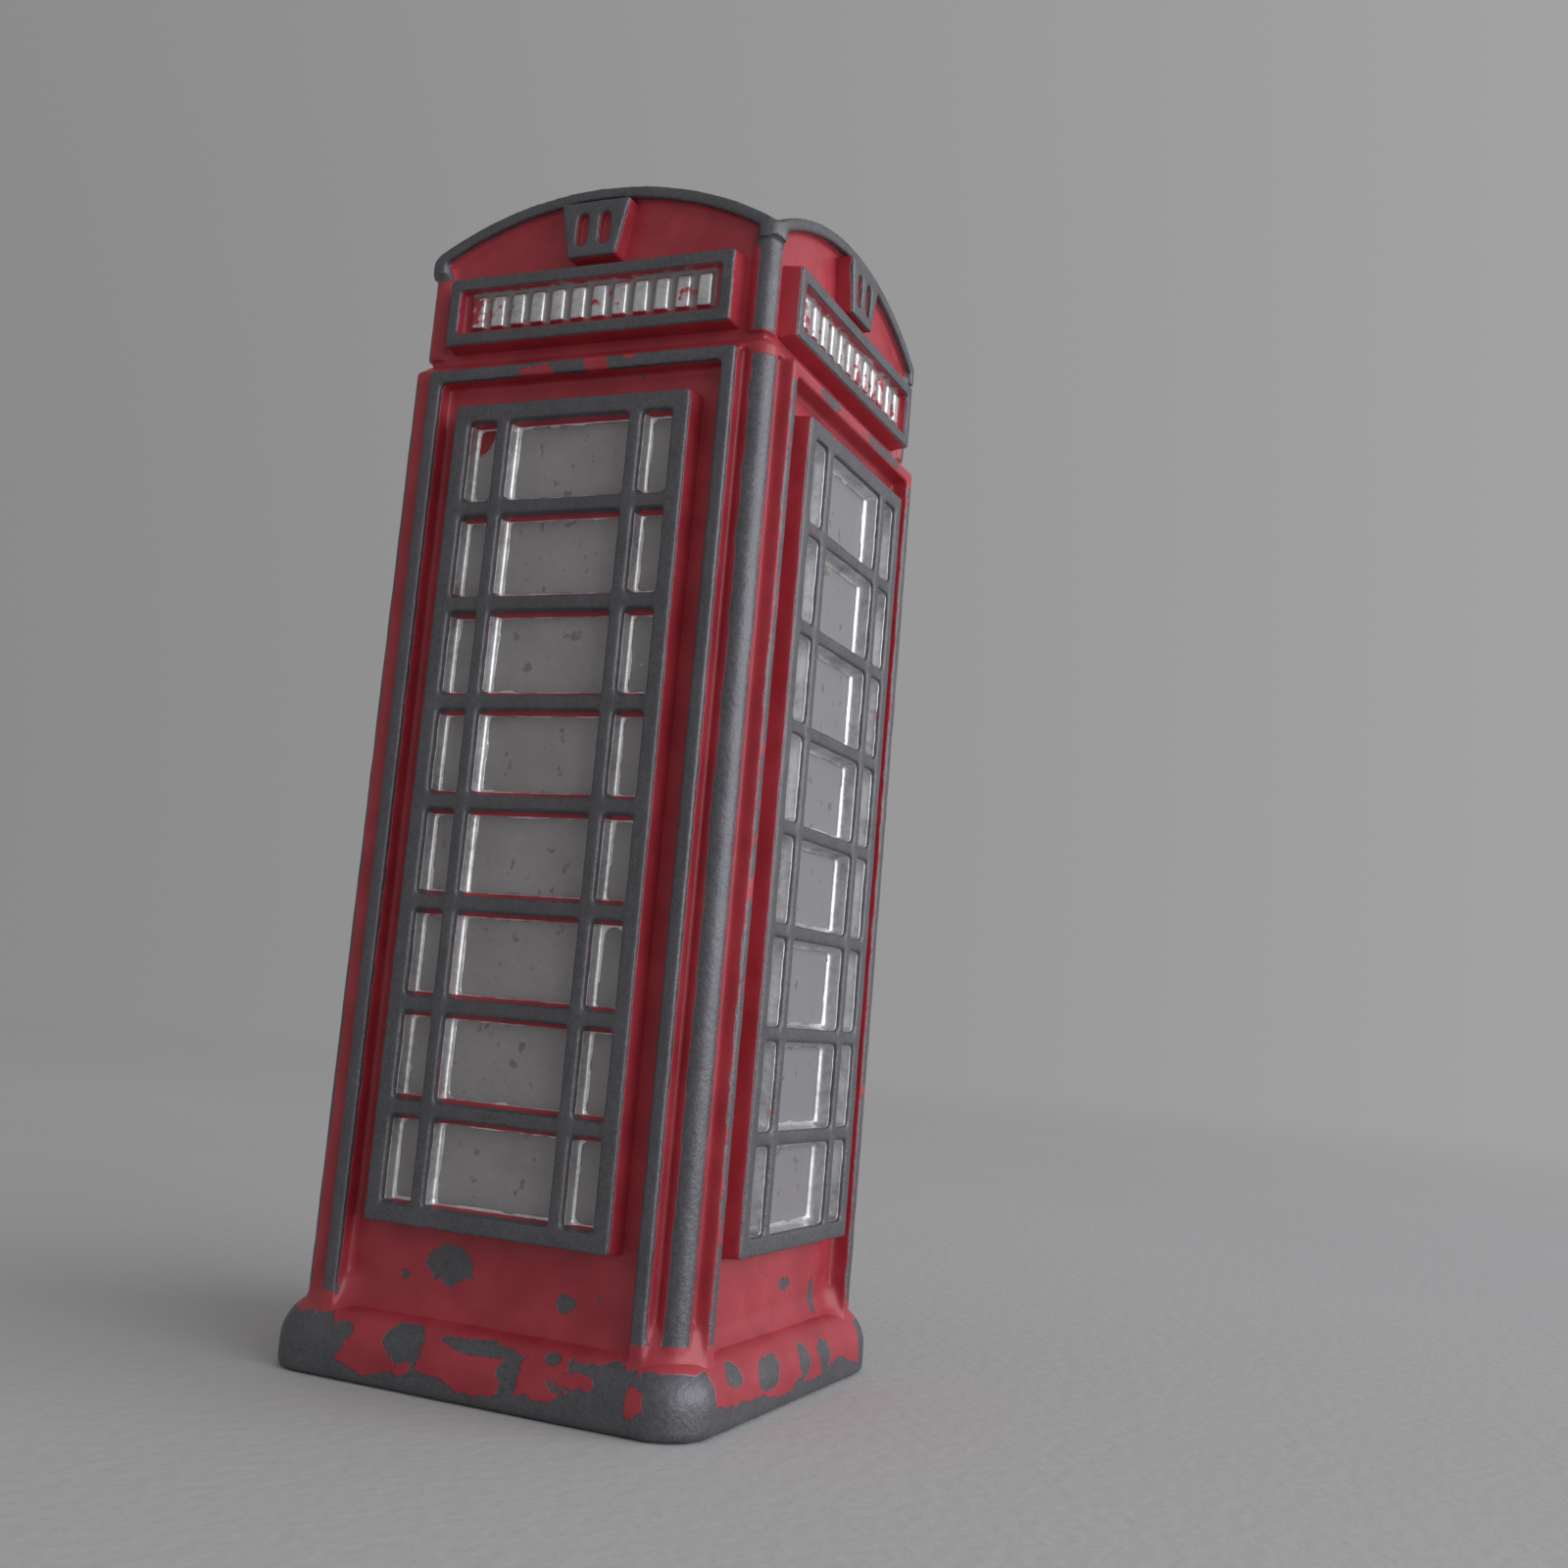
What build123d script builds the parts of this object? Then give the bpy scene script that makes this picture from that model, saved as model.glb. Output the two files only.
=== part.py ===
"""Miniature kiosk in die-cast zinc: a square body on a plinth, with window castings, signs and a roof.

Millimetres, +Z up, resting on Z = 0 and centred on the Z axis. The front face looks toward -Y and the
right face toward +X. Every face feature is drawn once on the front face and then turned about Z.
"""
import os

from build123d import *

# ---- driving sizes: the half width and the window height set the width and the height ----
core_half = 9.75               # half width of the body in the groove beside each corner column
window_height = 40.9           # outside height of a raised window border

# ---- distances of the face planes, outward from the core ----
field_rise = 0.25              # flat field round the window
outer_frame_rise = 1.25        # front of the raised outer frame
window_rise = 1.5              # front of the window border and its bars
wall_thickness = 1.55          # hollow body, measured in the groove

# ---- plinth ----
plinth_rise = 2.0              # how far the plinth stands out from the core
plinth_height = 3.6
plinth_corner_radius = 2.5
plinth_shoulder_radius = 2.2
plinth_toe_radius = 0.35
socket_inset = 1.05            # from the core to the square socket that takes the body's tenon
socket_depth = 1.5
plinth_bore_inset = 3.35       # opening below the socket
plate_pocket_rim = 1.85        # rim left round the pocket for the base plate
plate_pocket_depth = 1.0
plate_pocket_corner_radius = 1.5

# ---- body ----
apron_height = 3.9             # plinth to the underside of a window border
cornice_height = 0.7
cornice_slope = 0.55
column_inset = 0.1             # corner column axis, in from the core
column_radius = 0.8
tenon_clearance = 0.1          # each side, tenon in socket
tenon_end_gap = 0.1
foot_ring_width = 3.15         # thick ring at the foot of the body, in from the core
foot_ring_height = 2.0         # above the plinth

# ---- outer frame on each face ----
outer_frame_inset = 1.65       # from the core to the inside of the frame
outer_frame_band = 0.75
outer_frame_gap = 1.45         # window border to the top band of the frame

# ---- windows ----
window_inset = 3.0             # from the core to the side of a window border
frame_band = 0.9               # width of the border
upright_width = 0.85           # width of the two upright bars
cross_bar_width = 0.85
cross_bar_count = 7
narrow_pane_width = 1.6        # the two outer columns of panes
pane_depth = 0.9               # front of the bars to the pane
pane_draft = 4.0               # degrees, so that the casting leaves its mould
ledge_depth = 0.4              # from the core in to the face that the window casting sits on
ledge_reach = 0.8              # how far the ledge reaches in past the border
window_seat_clearance = 0.05   # each side, border in its rebate
plate_seat_clearance = 0.05    # each side, pane plate inside the border

# ---- cast pegs, a press fit in bores of the same radius ----
peg_radius = 0.3
peg_length = 0.8
peg_end_gap = 0.1

# ---- back panel ----
back_panel_step = 0.5          # sunk field inside the border
back_panel_margin = 1.3        # from the border to the raised middle
back_panel_rise = 0.3

# ---- roof ----
frieze_column_inset = 0.4      # small column axis, in from the core
frieze_column_radius = 0.75
frieze_column_gap = 0.3        # cornice to the foot of the small columns
rim_rise_out = 0.6             # front of the pediment rims, out from the core
rim_width = 1.15               # front of the rims to where the dome begins
rim_thickness = 0.65
rim_corner_rise = 1.4          # top of a sign to where two rims meet
rim_end_drop = 0.7             # how far the rims reach down below that corner
rim_column_overlap = 0.5       # small columns, up into the rims
pediment_rise = 3.0            # from that corner to the top of the rim's curve
dome_rise = 1.0                # crown of the dome above the rims
dome_radius = 23.0
spigot_clearance = 0.1         # each side, roof spigot inside the body
spigot_length = 2.0
roof_hollow_inset = 3.25
roof_hollow_height = 4.7
roof_peg_inset = 0.65          # peg axes, in from the core in X and in Y
roof_peg_radius = 0.5
roof_peg_length = 1.5

# ---- signs ----
sign_inset = 1.5               # from the core to the end of a sign
sign_height = 3.65
sign_gap = 0.65                # cornice to the foot of a sign
sign_rise = 1.1                # front of the sign rim, out from the core
sign_rim = 0.65
sign_recess = 0.6
sign_seat_depth = 0.4          # how far the sign sits into the frieze
sign_seat_clearance = 0.05
sign_peg_inset = 2.25          # peg axes, in from the ends of the sign
slat_count = 12
slat_width = 0.75
slat_height = 1.7
slat_rise = 0.3
slat_margin = 1.0              # from the rim to the first slat's centre

# ---- badges ----
badge_rise = 1.05              # front of the badge, out from the core
badge_width = 4.0              # at the top
badge_foot_width = 2.8
badge_height = 3.0
badge_gap = 0.5                # top of a sign to the foot of the badge
badge_seat_depth = 0.3
badge_seat_clearance = 0.05
badge_peg_spacing = 1.6
badge_peg_rise = 1.4           # peg axes above the foot of the badge
flute_width = 0.6              # two upright sunk flutes
flute_height = 1.7
flute_depth = 0.5
flute_spacing = 1.3

# ---- base plate and rivets ----
plate_thickness = 0.6
plate_clearance = 0.1
plate_corner_radius = 1.4
rivet_inset = 2.15             # rivet axes, in from the core in X and in Y
rivet_radius = 0.5             # a press fit in the body
rivet_hole_clearance = 0.05
rivet_head_radius = 0.9
rivet_head_thickness = 0.25
rivet_grip = 1.4               # length of shank inside the body
rivet_end_gap = 0.1

# ---- half widths that follow ----
field_half = core_half + field_rise
outer_frame_half = core_half + outer_frame_rise
window_half = core_half + window_rise
wall_inside_half = core_half - wall_thickness
plinth_half = core_half + plinth_rise
socket_half = core_half - socket_inset
tenon_half = socket_half - tenon_clearance
plinth_bore_half = core_half - plinth_bore_inset
plate_pocket_half = plinth_half - plate_pocket_rim
foot_ring_inside = core_half - foot_ring_width
column_centre = core_half - column_inset
cornice_half = column_centre + column_radius
outer_frame_inside = core_half - outer_frame_inset
outer_frame_outside = outer_frame_inside + outer_frame_band
ledge_half = core_half - ledge_depth
pane_half = window_half - pane_depth
frieze_half = core_half
frieze_column_centre = core_half - frieze_column_inset
rim_half = core_half + rim_rise_out
rim_back_half = rim_half - rim_width
roof_hollow_half = core_half - roof_hollow_inset
roof_peg_centre = core_half - roof_peg_inset
sign_half = frieze_half + sign_rise
sign_back_half = frieze_half - sign_seat_depth
badge_half = frieze_half + badge_rise
badge_back_half = frieze_half - badge_seat_depth
rivet_spacing = 2 * (core_half - rivet_inset)

# ---- heights that follow ----
plate_top = plate_pocket_depth
plate_bottom = plate_top - plate_thickness
socket_floor = plinth_height - socket_depth
tenon_bottom = socket_floor + tenon_end_gap
rivet_top = tenon_bottom + rivet_grip
foot_ring_top = plinth_height + foot_ring_height
shell_bottom = plinth_height - plinth_shoulder_radius
window_bottom = plinth_height + apron_height
window_top = window_bottom + window_height
window_middle = window_bottom + window_height / 2
outer_frame_inside_top = window_top + outer_frame_gap
outer_frame_top = outer_frame_inside_top + outer_frame_band
cornice_bottom = outer_frame_top
body_top = cornice_bottom + cornice_height
sign_bottom = body_top + sign_gap
sign_middle = sign_bottom + sign_height / 2
sign_top = sign_bottom + sign_height
badge_bottom = sign_top + badge_gap
badge_middle = badge_bottom + badge_height / 2
rim_corner_height = sign_top + rim_corner_rise
rim_low = rim_corner_height - rim_end_drop
frieze_column_bottom = body_top + frieze_column_gap
frieze_column_top = rim_low + rim_column_overlap
pediment_height = rim_corner_height + pediment_rise
crown_height = pediment_height + dome_rise
roof_hollow_top = body_top + roof_hollow_height

# ---- other sizes that follow ----
window_width = 2 * (core_half - window_inset)
opening_width = window_width - 2 * frame_band
opening_height = window_height - 2 * frame_band
opening_top = window_top - frame_band
wide_pane_width = opening_width - 2 * narrow_pane_width - 2 * upright_width
side_pane_centre = wide_pane_width / 2 + upright_width + narrow_pane_width / 2
pane_height = (opening_height - cross_bar_count * cross_bar_width) / (cross_bar_count + 1)
ledge_opening_width = opening_width - 2 * ledge_reach
ledge_opening_height = opening_height - 2 * ledge_reach
rim_radius = (rim_half ** 2 + pediment_rise ** 2) / (2 * pediment_rise)
rim_centre_height = pediment_height - rim_radius
sign_width = 2 * (core_half - sign_inset)
sign_peg_spacing = sign_width - 2 * sign_peg_inset
slat_run = sign_width - 2 * sign_rim - 2 * slat_margin
beyond = 0.5                   # how far a cutter reaches past the face it cuts

faces = {"front": 0, "right": 90, "back": 180, "left": 270}


def turned(shape, angle):
    """Carry a front-face shape round to another face."""
    return shape.rotate(Axis.Z, angle)


def block(width, back, front, bottom, top):
    """Block centred on the front face, its depth given by two distances from the axis."""
    box = Box(width, front - back, top - bottom, align=(Align.CENTER, Align.MIN, Align.MIN))
    return box.moved(Location((0, -front, bottom)))


def square_block(half, bottom, top, corner_radius=0.0):
    """Upright block of square plan, with rounded corners where a radius is given."""
    outline = Rectangle(2 * half, 2 * half)
    if corner_radius:
        outline = RectangleRounded(2 * half, 2 * half, corner_radius)
    return extrude(Pos(0, 0, bottom) * outline, top - bottom)


def post(x, y, bottom, top, radius):
    """Round post between two heights."""
    rod = Cylinder(radius, top - bottom, align=(Align.CENTER, Align.CENTER, Align.MIN))
    return rod.moved(Location((x, y, bottom)))


def posts(spacing, bottom, top, radius):
    """Four round posts at the corners of a square."""
    reach = spacing / 2
    four = post(reach, reach, bottom, top, radius)
    four += post(-reach, reach, bottom, top, radius)
    four += post(-reach, -reach, bottom, top, radius)
    four += post(reach, -reach, bottom, top, radius)
    return four


def peg(x, height, front, length):
    """Round peg on the front face, running inward from the distance given."""
    rod = Cylinder(peg_radius, length, align=(Align.CENTER, Align.CENTER, Align.MIN))
    return Location((x, -front, height)) * Rot(-90, 0, 0) * rod


def inward(outline, front, depth, draft=0.0):
    """Lay an outline on the front face, its Y as height, and run it inward; draft narrows it."""
    plane = Plane(origin=(0, -front, 0), x_dir=(-1, 0, 0), z_dir=(0, 1, 0))
    return extrude(plane * outline, depth, taper=draft)


def window_pegs(length):
    """Four pegs behind the corners of a window border."""
    inset = frame_band / 2
    across = window_width / 2 - inset
    pegs = peg(across, window_bottom + inset, ledge_half, length)
    pegs += peg(-across, window_bottom + inset, ledge_half, length)
    pegs += peg(across, window_top - inset, ledge_half, length)
    pegs += peg(-across, window_top - inset, ledge_half, length)
    return pegs


def sign_pegs(length):
    """Two pegs behind a sign."""
    pegs = peg(-sign_peg_spacing / 2, sign_middle, sign_back_half, length)
    pegs += peg(sign_peg_spacing / 2, sign_middle, sign_back_half, length)
    return pegs


def badge_pegs(length):
    """Two pegs behind a badge."""
    height = badge_bottom + badge_peg_rise
    pegs = peg(-badge_peg_spacing / 2, height, badge_back_half, length)
    pegs += peg(badge_peg_spacing / 2, height, badge_back_half, length)
    return pegs


def badge_outline(grow=0.0):
    """Keystone shape, wider at the top, and larger all round by the amount given."""
    foot = badge_foot_width / 2
    wide = badge_width / 2
    top = badge_bottom + badge_height
    corners = [(-foot, badge_bottom), (foot, badge_bottom), (wide, top), (-wide, top)]
    outline = make_face(Polyline(*corners, close=True))
    if grow:
        outline = offset(outline, grow, kind=Kind.INTERSECTION)
    return outline


def arch(radius):
    """Lying cylinder whose upper edge gives the curve of the pediments, for the front and back."""
    length = 4 * rim_half
    rod = Cylinder(radius, length).rotate(Axis.X, 90)
    return rod.moved(Location((0, 0, rim_centre_height)))


# ---- plinth ----
plinth_outside = square_block(plinth_half, 0, plinth_height, plinth_corner_radius)
plinth_outside = fillet(plinth_outside.edges().group_by(Axis.Z)[-1], plinth_shoulder_radius)
plinth_outside = fillet(plinth_outside.edges().group_by(Axis.Z)[0], plinth_toe_radius)
plinth = plinth_outside - square_block(socket_half, socket_floor, plinth_height + beyond)
plinth -= square_block(plinth_bore_half, 0, plinth_height)
plinth -= square_block(plate_pocket_half, -beyond, plate_pocket_depth, plate_pocket_corner_radius)
plinth -= posts(rivet_spacing, 0, plinth_height, rivet_radius + rivet_hole_clearance)

# ---- body ----
cornice = square_block(cornice_half, cornice_bottom, body_top, column_radius)
cornice = chamfer(cornice.edges().group_by(Axis.Z)[-1], cornice_slope)
body = square_block(core_half, shell_bottom, body_top) + cornice
body += posts(2 * column_centre, shell_bottom, cornice_bottom, column_radius)
outer_frame = block(
    2 * outer_frame_outside, core_half - beyond, outer_frame_half, shell_bottom, outer_frame_top
)
outer_frame -= block(
    2 * outer_frame_inside, field_half, outer_frame_half + beyond, 0, outer_frame_inside_top
)
for angle in faces.values():
    body += turned(outer_frame, angle)
body -= plinth_outside
body += square_block(tenon_half, tenon_bottom, plinth_height)
body -= square_block(foot_ring_inside, 0, body_top + beyond)
body -= square_block(wall_inside_half, foot_ring_top, body_top + beyond)
rebate = block(
    window_width + 2 * window_seat_clearance,
    ledge_half,
    outer_frame_half + beyond,
    window_bottom - window_seat_clearance,
    window_top + window_seat_clearance,
)
wall_opening = block(
    ledge_opening_width,
    foot_ring_inside,
    outer_frame_half,
    window_middle - ledge_opening_height / 2,
    window_middle + ledge_opening_height / 2,
)
window_seat = rebate + wall_opening + window_pegs(peg_length + peg_end_gap)
for angle in faces.values():
    body -= turned(window_seat, angle)
body -= posts(rivet_spacing, 0, rivet_top + rivet_end_gap, rivet_radius)
roof_peg_bore_bottom = body_top - roof_peg_length - peg_end_gap
body -= posts(2 * roof_peg_centre, roof_peg_bore_bottom, body_top + beyond, roof_peg_radius)

# ---- roof ----
dome = Sphere(dome_radius).moved(Location((0, 0, crown_height - dome_radius)))
roof = square_block(rim_back_half, body_top, crown_height) & dome
roof += posts(2 * frieze_column_centre, frieze_column_bottom, frieze_column_top, frieze_column_radius)
pediment_wall = block(2 * frieze_half, rim_back_half - beyond, frieze_half, body_top, pediment_height)
pediment_rim = block(2 * rim_half, rim_back_half, rim_half, rim_low, pediment_height + beyond)
pediment_rim &= arch(rim_radius) - arch(rim_radius - rim_thickness)
pediment = pediment_rim + (pediment_wall & arch(rim_radius))
sign_seat = block(
    sign_width + 2 * sign_seat_clearance,
    sign_back_half,
    frieze_half + beyond,
    sign_bottom - sign_seat_clearance,
    sign_bottom + sign_height + sign_seat_clearance,
)
sign_seat += sign_pegs(peg_length + peg_end_gap)
badge_seat = inward(badge_outline(badge_seat_clearance), frieze_half + beyond, badge_seat_depth + beyond)
badge_seat += badge_pegs(peg_length + peg_end_gap)
for angle in faces.values():
    roof += turned(pediment, angle)
for angle in faces.values():
    roof -= turned(sign_seat, angle)
    roof -= turned(badge_seat, angle)
roof += square_block(wall_inside_half - spigot_clearance, body_top - spigot_length, body_top)
roof += posts(2 * roof_peg_centre, body_top - roof_peg_length, body_top, roof_peg_radius)
roof -= square_block(roof_hollow_half, body_top - spigot_length - beyond, roof_hollow_top)

# ---- windows ----
pane_outlines = Sketch()
for row in range(cross_bar_count + 1):
    row_middle = opening_top - pane_height / 2 - row * (pane_height + cross_bar_width)
    pane_outlines += Pos(0, row_middle) * Rectangle(wide_pane_width, pane_height)
    pane_outlines += Pos(side_pane_centre, row_middle) * Rectangle(narrow_pane_width, pane_height)
    pane_outlines += Pos(-side_pane_centre, row_middle) * Rectangle(narrow_pane_width, pane_height)
border = block(window_width, ledge_half, window_half, window_bottom, window_top)
plate_space = block(opening_width, ledge_half - beyond, pane_half, window_bottom + frame_band, opening_top)
window = border - plate_space - inward(pane_outlines, window_half, pane_depth, pane_draft)
window += window_pegs(peg_length)
panes = block(
    opening_width - 2 * plate_seat_clearance,
    ledge_half,
    pane_half,
    window_bottom + frame_band + plate_seat_clearance,
    opening_top - plate_seat_clearance,
)

# ---- back panel ----
panel_field = window_half - back_panel_step
raised_middle = block(
    opening_width - 2 * back_panel_margin,
    ledge_half,
    panel_field + back_panel_rise,
    window_bottom + frame_band + back_panel_margin,
    opening_top - back_panel_margin,
)
back_panel = border - block(
    opening_width, panel_field, window_half + beyond, window_bottom + frame_band, opening_top
)
back_panel += raised_middle + window_pegs(peg_length)

# ---- signs ----
sign_floor = sign_half - sign_recess
sign = block(sign_width, sign_back_half, sign_half, sign_bottom, sign_bottom + sign_height)
sign -= block(
    sign_width - 2 * sign_rim,
    sign_floor,
    sign_half + beyond,
    sign_bottom + sign_rim,
    sign_bottom + sign_height - sign_rim,
)
slat_outlines = Sketch()
for number in range(slat_count):
    slat_middle = slat_run * (number / (slat_count - 1) - 0.5)
    slat_outlines += Pos(slat_middle, sign_middle) * Rectangle(slat_width, slat_height)
sign += inward(slat_outlines, sign_floor + slat_rise, slat_rise + sign_floor - sign_back_half)
sign += sign_pegs(peg_length)

# ---- badges ----
flutes = Pos(flute_spacing / 2, badge_middle) * SlotOverall(flute_height, flute_width, rotation=90)
flutes += Pos(-flute_spacing / 2, badge_middle) * SlotOverall(flute_height, flute_width, rotation=90)
badge = inward(badge_outline(), badge_half, badge_half - badge_back_half)
badge -= inward(flutes, badge_half, flute_depth)
badge += badge_pegs(peg_length)

# ---- base plate and rivets ----
base_plate = square_block(plate_pocket_half - plate_clearance, plate_bottom, plate_top, plate_corner_radius)
base_plate -= posts(rivet_spacing, 0, plate_top + beyond, rivet_radius + rivet_hole_clearance)
base_rivets = posts(rivet_spacing, plate_bottom, rivet_top, rivet_radius)
base_rivets += posts(rivet_spacing, plate_bottom - rivet_head_thickness, plate_bottom, rivet_head_radius)

pieces = {
    "plinth": plinth,
    "body": body,
    "roof": roof,
    "back_panel": turned(back_panel, faces["back"]),
    "base_plate": base_plate,
    "base_rivets": base_rivets,
}
for name, angle in faces.items():
    pieces["sign_" + name] = turned(sign, angle)
    pieces["badge_" + name] = turned(badge, angle)
for name in ("front", "right", "left"):
    pieces["window_" + name] = turned(window, faces[name])
    pieces["panes_" + name] = turned(panes, faces[name])

os.makedirs("parts", exist_ok=True)
for name, shape in pieces.items():
    export_step(shape, "parts/" + name + ".step")
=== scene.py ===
"""Looks of the miniature kiosk: soft zinc castings in worn red enamel, with silver panes.

Shapes are modelled in millimetres and brought to metres at the end of each piece.
"""
import math

import bpy
from mathutils import Matrix, Vector


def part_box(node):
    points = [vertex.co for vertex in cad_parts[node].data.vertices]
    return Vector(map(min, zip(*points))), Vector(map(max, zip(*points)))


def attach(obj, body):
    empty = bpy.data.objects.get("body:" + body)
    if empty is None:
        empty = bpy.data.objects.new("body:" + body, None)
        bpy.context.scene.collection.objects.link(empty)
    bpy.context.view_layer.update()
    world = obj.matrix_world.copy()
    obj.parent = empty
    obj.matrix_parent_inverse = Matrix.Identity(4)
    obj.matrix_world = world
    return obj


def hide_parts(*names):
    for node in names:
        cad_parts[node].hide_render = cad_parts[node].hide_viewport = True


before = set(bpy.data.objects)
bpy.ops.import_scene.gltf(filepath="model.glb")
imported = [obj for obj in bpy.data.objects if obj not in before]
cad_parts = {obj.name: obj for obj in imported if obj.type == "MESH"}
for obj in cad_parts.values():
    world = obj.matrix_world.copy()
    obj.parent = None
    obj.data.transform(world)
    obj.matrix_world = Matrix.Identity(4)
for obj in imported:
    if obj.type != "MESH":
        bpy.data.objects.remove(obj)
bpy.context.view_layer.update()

MM = 1000.0                        # millimetres in a metre
QUARTERS = {"front": 0.0, "right": 90.0, "back": 180.0, "left": 270.0}
DOWN = (0, 0, -1)


def node_box(node):
    """Lowest and highest corner of a CAD node, in millimetres."""
    low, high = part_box(node)
    return low * MM, high * MM


# ---- sizes, in millimetres ----
window_low, window_high = node_box("window_front")
panes_low, _ = node_box("panes_front")
sign_low, sign_high = node_box("sign_front")
badge_low, badge_high = node_box("badge_front")
plinth_low, plinth_high = node_box("plinth")
_, body_high = node_box("body")
_, roof_high = node_box("roof")

window_front = -window_low.y           # distances of the face planes from the centre axis
pane_front = -panes_low.y
outer_frame_front = body_high.x
sign_front = -sign_low.y
badge_front = -badge_low.y
rim_front = roof_high.x
plinth_half = plinth_high.x
field_front = 10.0
core_half = 9.75
rim_back = 9.2

border_width = 0.9
bar_width = 0.85
bar_crown = 0.72                       # width across the flat top of a bar
narrow_pane = 1.6
cross_bars = 7
draft = 0.14                           # how much wider a bar is at its foot, each side
melt_loss = 0.05                       # how much lower a narrow ridge comes out of the melt

outer_frame_inside = 8.1
outer_frame_band = 0.75
outer_frame_top = 49.85
column_centre = 9.65
column_radius = 0.8
cornice_half = 10.45
cornice_bottom = 50.6

frieze_column_centre = 9.35
frieze_column_radius = 0.75
rim_thickness = 0.65
rim_corner_height = 57.0
rim_corner_radius = 0.9
pediment_height = 60.0
dome_radius = 23.0

plinth_corner = 2.5
plinth_shoulder = 2.2
plinth_toe = 0.35
swell_allowance = 0.012                # keeps the uneven skin inside the true size
pocket_half = 9.9
pocket_depth = 1.0
pocket_corner = 1.5
foot_height = 5.0                      # where the soft foot of the body dies into its faces
foot_start = 1.0                       # how far down that foot is modelled before it is cut
foot_overlap = 1.6                     # how far the body reaches down into the plinth
foot_inset = 0.06
foot_softness = 1.1
field_half = 8.5
cornice_slope = 0.55
core_bite = 1.0                        # how deep the fields and frames reach into the core
frieze_bite = 0.2                      # how deep the roof reaches into the cornice
cornice_bite = 0.3                     # how far the body reaches up into its cornice
casting_root = 9.6                     # how deep the applied castings reach, from the centre axis

skin_swell = 0.05                      # how uneven a casting skin is
voxel = 0.1


# ---- modelling helpers ----
def deselect():
    if bpy.context.object and bpy.context.object.mode != "OBJECT":
        bpy.ops.object.mode_set(mode="OBJECT")
    bpy.ops.object.select_all(action="DESELECT")


def pick(*objects):
    deselect()
    for item in objects:
        item.select_set(True)
    bpy.context.view_layer.objects.active = objects[0]


def settle(item):
    """Leave the object's origin at the world origin, unturned and unscaled."""
    pick(item)
    bpy.ops.object.transform_apply(location=True, rotation=True, scale=True)
    return item


def block(low, high):
    """Block between two corners."""
    low, high = Vector(low), Vector(high)
    deselect()
    bpy.ops.mesh.primitive_cube_add(size=1, location=(low + high) / 2, scale=high - low)
    return settle(bpy.context.object)


def face_block(left, right, back, front, bottom, top):
    """Block on the front face; back and front are distances from the centre axis."""
    return block((left, -front, bottom), (right, -back, top))


def rod(radius, centre, length, axis="Z", sides=64):
    """Cylinder about a centre, lying along an axis."""
    turn = {"Z": (0, 0, 0), "Y": (math.pi / 2, 0, 0), "X": (0, math.pi / 2, 0)}[axis]
    deselect()
    bpy.ops.mesh.primitive_cylinder_add(
        vertices=sides, radius=radius, depth=length, location=centre, rotation=turn
    )
    return settle(bpy.context.object)


def corner_rods(radius, centre, middle, length):
    """Four upright cylinders, one near each corner."""
    places = (-centre, centre)
    return [rod(radius, (x, y, middle), length) for x in places for y in places]


def edit_edges(item, wanted):
    """Enter edit mode with the edges selected that a test of their two ends accepts."""
    pick(item)
    bpy.ops.object.mode_set(mode="EDIT")
    bpy.ops.mesh.select_mode(type="EDGE")
    bpy.ops.mesh.select_all(action="DESELECT")
    bpy.ops.object.mode_set(mode="OBJECT")
    mesh = item.data
    for edge in mesh.edges:
        a, b = (mesh.vertices[i].co for i in edge.vertices)
        edge.select = wanted(a, b)
    bpy.ops.object.mode_set(mode="EDIT")


def edit_faces(item, wanted):
    """Enter edit mode with the faces selected that a test of centre and normal accepts."""
    pick(item)
    bpy.ops.object.mode_set(mode="EDIT")
    bpy.ops.mesh.select_mode(type="FACE")
    bpy.ops.mesh.select_all(action="DESELECT")
    bpy.ops.object.mode_set(mode="OBJECT")
    for face in item.data.polygons:
        face.select = wanted(face.center, face.normal)
    bpy.ops.object.mode_set(mode="EDIT")


def bevel_edges(item, wanted, width, steps=6):
    edit_edges(item, wanted)
    bpy.ops.mesh.bevel(offset=width, offset_type="OFFSET", segments=steps, profile=0.5, affect="EDGES")
    bpy.ops.object.mode_set(mode="OBJECT")
    return item


def upright_edge(a, b):
    return abs(a.z - b.z) > 1e-3


def level_edge_at(height):
    return lambda a, b: abs(a.z - height) < 1e-3 and abs(b.z - height) < 1e-3


def cut(item, point, normal):
    """Slice away what lies beyond a plane and close the cut."""
    pick(item)
    bpy.ops.object.mode_set(mode="EDIT")
    bpy.ops.mesh.select_all(action="SELECT")
    bpy.ops.mesh.bisect(plane_co=point, plane_no=normal, use_fill=True, clear_outer=True)
    bpy.ops.object.mode_set(mode="OBJECT")
    return item


def trim(item, bottom, half):
    """Slice away what hangs below a height and what stands out to the left and right."""
    cut(item, (0, 0, bottom), DOWN)
    cut(item, (half, 0, 0), (1, 0, 0))
    return cut(item, (-half, 0, 0), (-1, 0, 0))


def subtract(item, tool):
    pick(item)
    cutter = item.modifiers.new("cut", "BOOLEAN")
    cutter.operation = "DIFFERENCE"
    cutter.solver = "EXACT"
    cutter.object = tool
    bpy.ops.object.modifier_apply(modifier=cutter.name)
    bpy.data.objects.remove(tool)
    return item


def copy_of(item):
    """Second object with a mesh of its own."""
    twin = item.copy()
    twin.data = item.data.copy()
    bpy.context.collection.objects.link(twin)
    return twin


def turned(item, degrees):
    """Turn a piece about the centre axis."""
    item.data.transform(Matrix.Rotation(math.radians(degrees), 4, "Z"))
    item.data.update()
    return item


def all_round(item):
    """The same solid on each of the four faces."""
    return [turned(copy_of(item), degrees) for degrees in (90, 180, 270)] + [item]


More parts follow.
